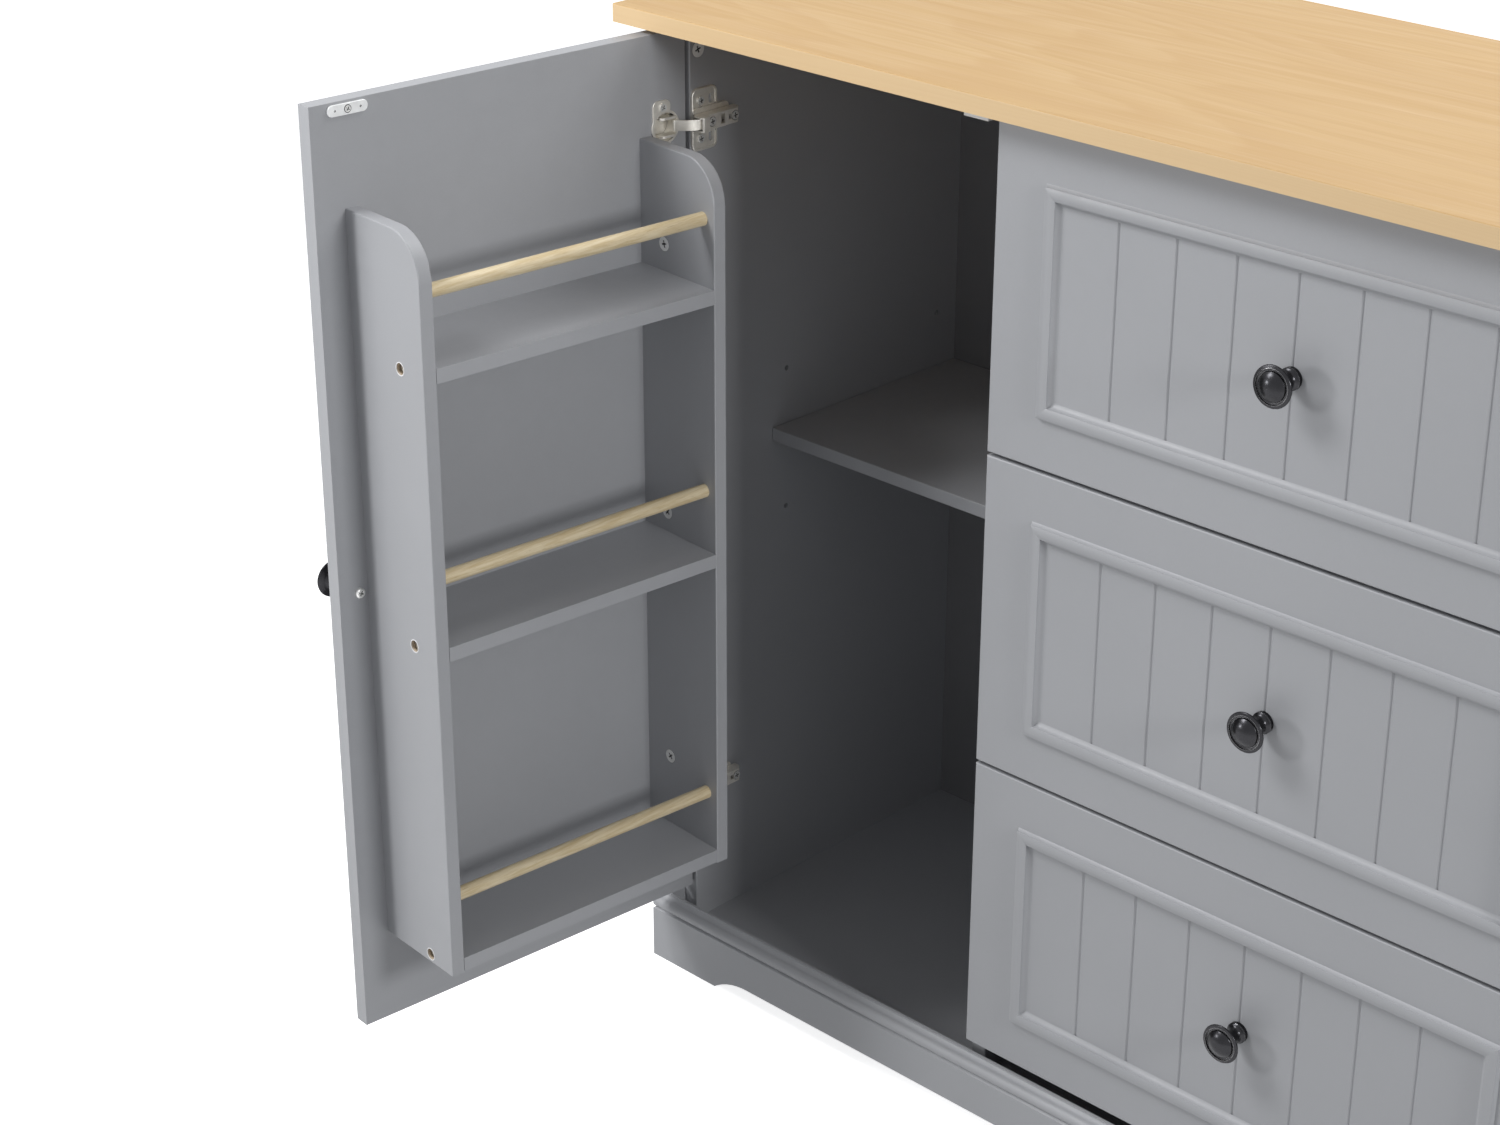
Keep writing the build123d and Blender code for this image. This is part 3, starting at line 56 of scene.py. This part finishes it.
class Shader:
    """A material being built: short calls that add and link shader nodes."""

    def __init__(self, name):
        self.material = bpy.data.materials.new(name)
        self.material.use_nodes = True
        self.tree = self.material.node_tree
        self.surface = self.tree.nodes["Principled BSDF"]
        self.place = self.add("ShaderNodeTexCoord").outputs["Object"]

    def add(self, kind, **settings):
        """A new node of one kind, with its properties set."""
        node = self.tree.nodes.new(kind)
        for key, value in settings.items():
            setattr(node, key, value)
        return node

    def put(self, socket, value):
        """Link an output to a socket, or set the socket to a plain value."""
        if isinstance(value, bpy.types.NodeSocket):
            self.tree.links.new(value, socket)
        elif hasattr(value, "__len__") and len(value) == 3 and socket.type == "RGBA":
            socket.default_value = (*value, 1)
        else:
            socket.default_value = value

    def mapped(self, scale, rotation=(0, 0, 0), shift=(0, 0, 0)):
        """Object coordinates turned, stretched and shifted."""
        node = self.add("ShaderNodeMapping")
        self.put(node.inputs["Vector"], self.place)
        node.inputs["Rotation"].default_value = rotation
        node.inputs["Scale"].default_value = scale
        node.inputs["Location"].default_value = shift
        return node.outputs["Vector"]

    def noise(self, vector, scale, detail=4, roughness=0.5):
        """Fractal noise, which lies mostly between 0.3 and 0.7."""
        node = self.add("ShaderNodeTexNoise")
        self.put(node.inputs["Vector"], vector)
        node.inputs["Scale"].default_value = scale
        node.inputs["Detail"].default_value = detail
        node.inputs["Roughness"].default_value = roughness
        return node.outputs["Fac"]

    def math(self, operation, a, b=0.5, c=0.5):
        """One sum on up to three values."""
        node = self.add("ShaderNodeMath", operation=operation)
        for socket, value in zip(node.inputs, (a, b, c)):
            self.put(socket, value)
        return node.outputs[0]

    def span(self, value, low, high, to_low=0.0, to_high=1.0):
        """Map low..high to to_low..to_high, clamped."""
        node = self.add("ShaderNodeMapRange", interpolation_type="SMOOTHSTEP")
        for socket, number in zip(node.inputs, (value, low, high, to_low, to_high)):
            self.put(socket, number)
        return node.outputs[0]

    def spread(self, noise, to_low=0.0, to_high=1.0):
        """Spread the middle of a noise over to_low..to_high."""
        return self.span(noise, 0.3, 0.7, to_low, to_high)

    def mix(self, factor, a, b):
        """The tone a where the factor is 0 and b where it is 1."""
        node = self.add("ShaderNodeMix", data_type="RGBA")
        self.put(node.inputs["Factor"], factor)
        self.put(node.inputs["A"], a)
        self.put(node.inputs["B"], b)
        return node.outputs["Result"]

    def edges(self, radius):
        """About 1 on sharp edges and 0 on flats."""
        bevel = self.add("ShaderNodeBevel", samples=BEVEL_SAMPLES)
        bevel.inputs["Radius"].default_value = radius
        plain = self.add("ShaderNodeNewGeometry")
        dot = self.add("ShaderNodeVectorMath", operation="DOT_PRODUCT")
        self.put(dot.inputs[0], bevel.outputs["Normal"])
        self.put(dot.inputs[1], plain.outputs["Normal"])
        return self.span(dot.outputs["Value"], 0.80, 0.99, 1.0, 0.0)

    def painted_recess_shade(self, reach, color):
        """Darken narrow recesses, such as a screw's cross, with painted shade."""
        shade = self.add("ShaderNodeAmbientOcclusion", samples=SHADE_SAMPLES)
        shade.inputs["Distance"].default_value = reach
        return self.mix(self.span(shade.outputs["AO"], 0.30, 0.62, 1.0, 0.0), color, PAINTED_SHADE_TONE)

    def bump(self, height, strength, distance):
        """Fine relief of the surface."""
        node = self.add("ShaderNodeBump")
        self.put(node.inputs["Height"], height)
        node.inputs["Strength"].default_value = strength
        node.inputs["Distance"].default_value = distance
        self.put(self.surface.inputs["Normal"], node.outputs["Normal"])

    def finish(self, color, roughness, metallic=0.0, specular=0.5):
        """Connect the colour and the gloss, and hand over the material."""
        self.put(self.surface.inputs["Base Color"], color)
        self.put(self.surface.inputs["Roughness"], roughness)
        self.surface.inputs["Metallic"].default_value = metallic
        self.surface.inputs["Specular IOR Level"].default_value = specular
        return self.material


# ---------------------------------------------------------------- materials
def painted_board(name, tone, paint_highlight_tone):
    """Satin paint over fibreboard: faint roller texture, mottling and painted highlights along
    edges.
    """
    paint = Shader(name)
    cloud = paint.noise(paint.place, 5.0, detail=3)
    mottle = paint.noise(paint.place, 90.0, detail=5, roughness=0.65)
    grain = paint.noise(paint.place, 900.0, detail=2, roughness=0.6)
    shade = paint.math("ADD", paint.spread(cloud, -0.02, 0.02), paint.spread(mottle, -0.008, 0.008))
    shade = paint.math("ADD", shade, paint.spread(grain, -0.01, 0.01))
    blend = paint.math("MULTIPLY_ADD", shade, 5.0, 0.5)
    color = paint.mix(blend, scaled(tone, 0.9), scaled(tone, 1.1))
    # Painted highlight: a lighter tint along edges, standing in for light on their rounding.
    edge_highlight_mask = paint.math("MULTIPLY", paint.edges(0.0009), 0.35)
    color = paint.mix(edge_highlight_mask, color, paint_highlight_tone)
    broad_relief = paint.math("MULTIPLY", mottle, 0.6)
    fine_relief = paint.math("MULTIPLY", grain, 0.4)
    paint.bump(paint.math("ADD", broad_relief, fine_relief), 0.12, 0.0001)
    return paint.finish(color, paint.spread(mottle, 0.40, 0.50), specular=0.45)


def worktop_wood():
    """Pale maple-like board: long cathedral grain along X, fine streaks, and painted light that
    makes the sides lighter than the top.
    """
    wood = Shader("worktop_wood")
    long_waves = wood.mapped((0.9, 6.5, 26.0), shift=(0.3, 0.1, 0))
    field = wood.noise(long_waves, 1.0, detail=2, roughness=0.4)
    rings = wood.math("FRACT", wood.math("MULTIPLY", field, 26.0))
    late_growth = wood.span(rings, 0.1, 0.85)
    ring_end = wood.span(rings, 0.86, 1.0, 1.0, 0.0)
    ring_line = wood.math("MULTIPLY", late_growth, ring_end)
    streak = wood.noise(wood.mapped((5.0, 210.0, 210.0)), 1.0, detail=5, roughness=0.7)
    fine = wood.noise(wood.mapped((16.0, 1100.0, 1100.0)), 1.0, detail=3, roughness=0.6)
    broad = wood.noise(wood.mapped((0.8, 12.0, 12.0), shift=(1.7, 0.4, 0.2)), 1.0, detail=2)
    color = wood.mix(wood.spread(broad), (0.535, 0.345, 0.148), (0.560, 0.372, 0.168))
    color = wood.mix(wood.math("MULTIPLY", ring_line, 0.37), color, (0.475, 0.278, 0.100))
    color = wood.mix(wood.span(streak, 0.48, 0.72, 0.0, 0.34), color, (0.490, 0.308, 0.125))
    color = wood.mix(wood.span(fine, 0.52, 0.78, 0.0, 0.38), color, (0.435, 0.272, 0.117))
    color = wood.mix(wood.span(streak, 0.25, 0.42, 0.30, 0.0), color, (0.67, 0.51, 0.29))
    facing = wood.add("ShaderNodeSeparateXYZ")
    wood.put(facing.inputs[0], wood.add("ShaderNodeTexCoord").outputs["Normal"])
    # Painted light: faces that don't point up or down are tinted lighter.
    painted_side_light = wood.span(wood.math("ABSOLUTE", facing.outputs["Z"]), 0.2, 0.7, 1.0, 0.0)
    color = wood.mix(wood.math("MULTIPLY", painted_side_light, 0.6), color, (0.80, 0.60, 0.36))
    wood.bump(wood.math("ADD", streak, wood.math("MULTIPLY", fine, 0.6)), 0.25, 0.0001)
    return wood.finish(color, wood.spread(streak, 0.42, 0.52), specular=0.4)


def rail_wood():
    """Bamboo rod along the open door: long pale fibres and fine dark flecks."""
    bamboo = Shader("rail_wood")
    turn = (0, 0, math.radians(-5))
    fibre = bamboo.noise(bamboo.mapped((420.0, 7.0, 420.0), turn), 1.0, detail=4, roughness=0.65)
    fleck = bamboo.noise(bamboo.mapped((1300.0, 40.0, 1300.0), turn), 1.0, detail=2)
    color = bamboo.mix(bamboo.spread(fibre), (0.71, 0.61, 0.42), (0.565, 0.445, 0.255))
    color = bamboo.mix(bamboo.span(fleck, 0.62, 0.78, 0.0, 0.55), color, (0.38, 0.26, 0.13))
    bamboo.bump(bamboo.math("ADD", fibre, fleck), 0.2, 0.0001)
    return bamboo.finish(color, bamboo.spread(fibre, 0.42, 0.58), specular=0.4)


def metal(name, tone, metal_highlight_tone, rough, stretch=(60.0, 60.0, 60.0), metallic=1.0):
    """Plated metal: fine streaks, soft smudges, painted highlights on edges and painted shade in
    recesses.
    """
    plate = Shader(name)
    streak = plate.noise(plate.mapped(stretch), 12.0, detail=5, roughness=0.7)
    smudge = plate.noise(plate.place, 120.0, detail=3)
    color = plate.mix(plate.spread(smudge), scaled(tone, 0.88), tone)
    # Painted highlight: brighter metal along edges.
    edge_highlight_mask = plate.math("MULTIPLY", plate.edges(0.0006), 0.5)
    color = plate.mix(edge_highlight_mask, color, metal_highlight_tone)
    # Painted shade: darker in narrow recesses such as a screw's cross.
    color = plate.painted_recess_shade(0.0025, color)
    plate.bump(streak, 0.12, 0.00005)
    return plate.finish(color, plate.spread(streak, *rough), metallic=metallic)


def moulded(name, tone, rough=0.45):
    """Moulded plastic with a fine spark texture and painted shade in recesses."""
    plastic = Shader(name)
    spark = plastic.noise(plastic.place, 1500.0, detail=2)
    cloud = plastic.noise(plastic.place, 60.0, detail=2)
    color = plastic.mix(plastic.spread(cloud), scaled(tone, 0.93), tone)
    # Painted shade: darker in narrow recesses.
    color = plastic.painted_recess_shade(0.0035, color)
    plastic.bump(spark, 0.2, 0.00006)
    return plastic.finish(color, plastic.spread(spark, rough - 0.05, rough + 0.05))


ALONG_RUNNER = (60.0, 4.0, 60.0)
LOOKS = {
    "grey_paint": painted_board("grey_paint", (0.355, 0.362, 0.380), (0.47, 0.475, 0.49)),
    "worktop_wood": worktop_wood(),
    "bare_board": painted_board("bare_board", (0.20, 0.20, 0.21), (0.26, 0.25, 0.24)),
    "drawer_wood": painted_board("drawer_wood", (0.33, 0.335, 0.35), (0.42, 0.42, 0.43)),
    "pale_wood": rail_wood(),
    "dark_knob": metal("dark_knob", (0.035, 0.035, 0.038), (0.62, 0.62, 0.63), (0.20, 0.30)),
    "nickel_plate": metal("nickel_plate", (0.90, 0.87, 0.80), (0.97, 0.95, 0.90), (0.30, 0.42),
                          metallic=0.55),
    "runner_steel": metal("runner_steel", (0.60, 0.61, 0.63), (0.78, 0.78, 0.80), (0.28, 0.42),
                          ALONG_RUNNER),
    "zinc_screw": metal("zinc_screw", (0.86, 0.86, 0.84), (0.95, 0.95, 0.94), (0.28, 0.40),
                        metallic=0.55),
    "strike_zinc": metal("strike_zinc", (0.90, 0.91, 0.91), (0.96, 0.96, 0.96), (0.32, 0.44),
                         metallic=0.35),
    "white_plastic": moulded("white_plastic", (0.80, 0.80, 0.79)),
    "bronze_screw": metal("bronze_screw", (0.80, 0.76, 0.68), (0.92, 0.90, 0.85), (0.28, 0.40),
                          metallic=0.5),
    "black_plastic": moulded("black_plastic", (0.03, 0.03, 0.032), 0.5),
}

slot_of = {entry["node"]: entry["material_slot"] for entry in frame["record"]["subparts"]}
for name, node in nodes.items():
    node.data.materials.clear()
    node.data.materials.append(LOOKS[slot_of[name]])


# ---------------------------------------------------------------- bare bores of the rack
BORE_RADIUS = 0.0049
BORE_DEPTH = 0.0037
LINING_TOP = 0.0003
FILM = 0.00012
RIM = 0.0007
RIM_FOOT = 0.0004
SAME_POINT = 1e-6
STEPS = 48

joints = {joint["name"]: joint for joint in frame["record"]["behaviour"]["joints"]}
DOOR_OPEN = math.radians(joints["door_hinge"]["range_deg"][1])
ALONG_DOOR = Vector((math.cos(DOOR_OPEN), -math.sin(DOOR_OPEN), 0))


def islands(mesh):
    """The separate solids of a node, each as a list of its corner points."""
    shape = bmesh.new()
    shape.from_mesh(mesh)
    bmesh.ops.remove_doubles(shape, verts=shape.verts, dist=SAME_POINT)
    found = []
    reached = set()
    for start in shape.verts:
        if start in reached:
            continue
        reached.add(start)
        group = [start]
        for vert in group:
            for edge in vert.link_edges:
                other = edge.other_vert(vert)
                if other not in reached:
                    reached.add(other)
                    group.append(other)
        found.append([vert.co.copy() for vert in group])
    shape.free()
    return found


def turned(name, profile, places, axis, look, body):
    """Rings turned from one (radius, depth) profile, one at each place, facing axis."""
    mesh = bpy.data.meshes.new(name)
    shape = bmesh.new()
    side = axis.orthogonal().normalized()
    spokes = [Matrix.Rotation(2 * math.pi * k / STEPS, 3, axis) @ side for k in range(STEPS)]
    for place, facing in places:
        rows = [[shape.verts.new(place + spoke * radius - facing * depth) for spoke in spokes]
                for radius, depth in profile]
        for upper, lower in zip(rows, rows[1:] + rows[:1]):
            for k in range(STEPS):
                following = (k + 1) % STEPS
                shape.faces.new((upper[k], upper[following], lower[following], lower[k]))
    bmesh.ops.recalc_face_normals(shape, faces=shape.faces)
    shape.to_mesh(mesh)
    shape.free()
    for face in mesh.polygons:
        face.use_smooth = True
    piece = bpy.data.objects.new(name, mesh)
    scene.collection.objects.link(piece)
    piece.data.materials.append(look)
    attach(piece, body)


def rack_bores():
    """Mouth centre and outward direction of the counterbore over each rack screw."""
    faces = {}
    for end, name in ((-1, "rack_side_hinge"), (1, "rack_side_free")):
        faces[end] = max(end * vert.co.dot(ALONG_DOOR) for vert in nodes[name].data.vertices)
    middle = (faces[1] - faces[-1]) / 2
    bores = []
    for corners in islands(nodes["rack_screws"].data):
        reach = [corner.dot(ALONG_DOOR) for corner in corners]
        end = 1 if (min(reach) + max(reach)) / 2 > middle else -1
        centre = sum(corners, Vector()) / len(corners)
        outwards = ALONG_DOOR * end
        bores.append((centre + outwards * (faces[end] - centre.dot(outwards)), outwards))
    return bores


rack_mouths = rack_bores()
lining_outside = BORE_RADIUS - 0.2 * FILM
lining_inside = BORE_RADIUS - FILM
turned("rack_bore_linings",
       [(lining_outside, LINING_TOP), (lining_outside, BORE_DEPTH),
        (lining_inside, BORE_DEPTH), (lining_inside, LINING_TOP)],
       rack_mouths, ALONG_DOOR, painted_board("raw_board", (0.42, 0.34, 0.25), (0.50, 0.42, 0.32)),
       "door")
turned("rack_bore_rims",
       [(lining_inside, RIM_FOOT), (lining_inside, 0.0), (BORE_RADIUS, -FILM),
        (BORE_RADIUS + RIM, -FILM), (BORE_RADIUS + RIM + FILM, 0.5 * FILM),
        (BORE_RADIUS, 0.5 * FILM)],
       rack_mouths, ALONG_DOOR, painted_board("bore_rim", (0.80, 0.80, 0.81), (0.90, 0.90, 0.90)),
       "door")


# ---------------------------------------------------------------- camera
CAMERA_PLACE = (1.2523, -1.7978, 1.4795)
YAW = 44.553
PITCH = 24.69
SENSOR_WIDTH = 36
LENS = 70.93

camera_data = bpy.data.cameras.new("camera")
camera = bpy.data.objects.new("camera", camera_data)
scene.collection.objects.link(camera)
camera.location = CAMERA_PLACE
camera.rotation_euler = (math.radians(90 - PITCH), 0, math.radians(YAW))
camera_data.sensor_width = SENSOR_WIDTH
camera_data.lens = LENS
scene.camera = camera


# ---------------------------------------------------------------- floor and light
FLOOR_REACH = 9.0
FLOOR_TONE = (0.95, 0.95, 0.95)
FLOOR_GLOW = 0.75
STUDIO_TONE = (0.97, 0.98, 1.0, 1)
STUDIO_SPREAD = 0.38
STUDIO_SEEN = 1.04


def floor_look():
    """Plain pale studio floor that glows a little, so that no horizon shows."""
    pale = Shader("floor")
    cloud = pale.noise(pale.place, 1.5, detail=2)
    color = pale.mix(pale.spread(cloud), scaled(FLOOR_TONE, 0.99), FLOOR_TONE)
    pale.put(pale.surface.inputs["Emission Color"], color)
    pale.surface.inputs["Emission Strength"].default_value = FLOOR_GLOW
    return pale.finish(color, 0.6, specular=0.2)


def floor():
    """The plane that the cabinet stands on; its glow doesn't light the cabinet."""
    mesh = bpy.data.meshes.new("floor")
    shape = bmesh.new()
    bmesh.ops.create_grid(shape, x_segments=8, y_segments=8, size=FLOOR_REACH)
    shape.to_mesh(mesh)
    shape.free()
    plane = bpy.data.objects.new("floor", mesh)
    plane.data.materials.append(floor_look())
    plane.visible_diffuse = False
    scene.collection.objects.link(plane)


def studio_world():
    """A pale studio, seen and mirrored in metal brighter than the light that it spreads."""
    world = bpy.data.worlds.new("studio")
    scene.world = world
    world.use_nodes = True
    tree = world.node_tree
    background = tree.nodes["Background"]
    background.inputs["Color"].default_value = STUDIO_TONE
    ray = tree.nodes.new("ShaderNodeLightPath")
    seen = tree.nodes.new("ShaderNodeMath")
    seen.operation = "MAXIMUM"
    tree.links.new(ray.outputs["Is Glossy Ray"], seen.inputs[0])
    tree.links.new(ray.outputs["Is Camera Ray"], seen.inputs[1])
    level = tree.nodes.new("ShaderNodeMapRange")
    tree.links.new(seen.outputs[0], level.inputs["Value"])
    level.inputs["To Min"].default_value = STUDIO_SPREAD
    level.inputs["To Max"].default_value = STUDIO_SEEN
    tree.links.new(level.outputs["Result"], background.inputs["Strength"])


def area_light(name, place, target, width, power):
    """A square lamp at place that faces target."""
    data = bpy.data.lights.new(name, "AREA")
    data.shape = "RECTANGLE"
    data.size = width
    data.size_y = width
    data.energy = power
    light = bpy.data.objects.new(name, data)
    light.location = place
    light.rotation_euler = (Vector(target) - Vector(place)).to_track_quat("-Z", "Y").to_euler()
    scene.collection.objects.link(light)


floor()
studio_world()
area_light("low_left", place=(-1.2, -1.8, 0.98), target=(0.1, -0.177, 0.5), width=0.35, power=10)
area_light("high_left", place=(-1.1, -1.3, 2.1), target=(0.1, -0.15, 0.5), width=0.7, power=25)
area_light("right", place=(1.9, -0.45, 1.3), target=(-0.45, -0.35, 0.5), width=0.4, power=19)
area_light("over", place=(0.3, 0.9, 2.3), target=(0.1, 0.0, 0.9), width=1.2, power=20)
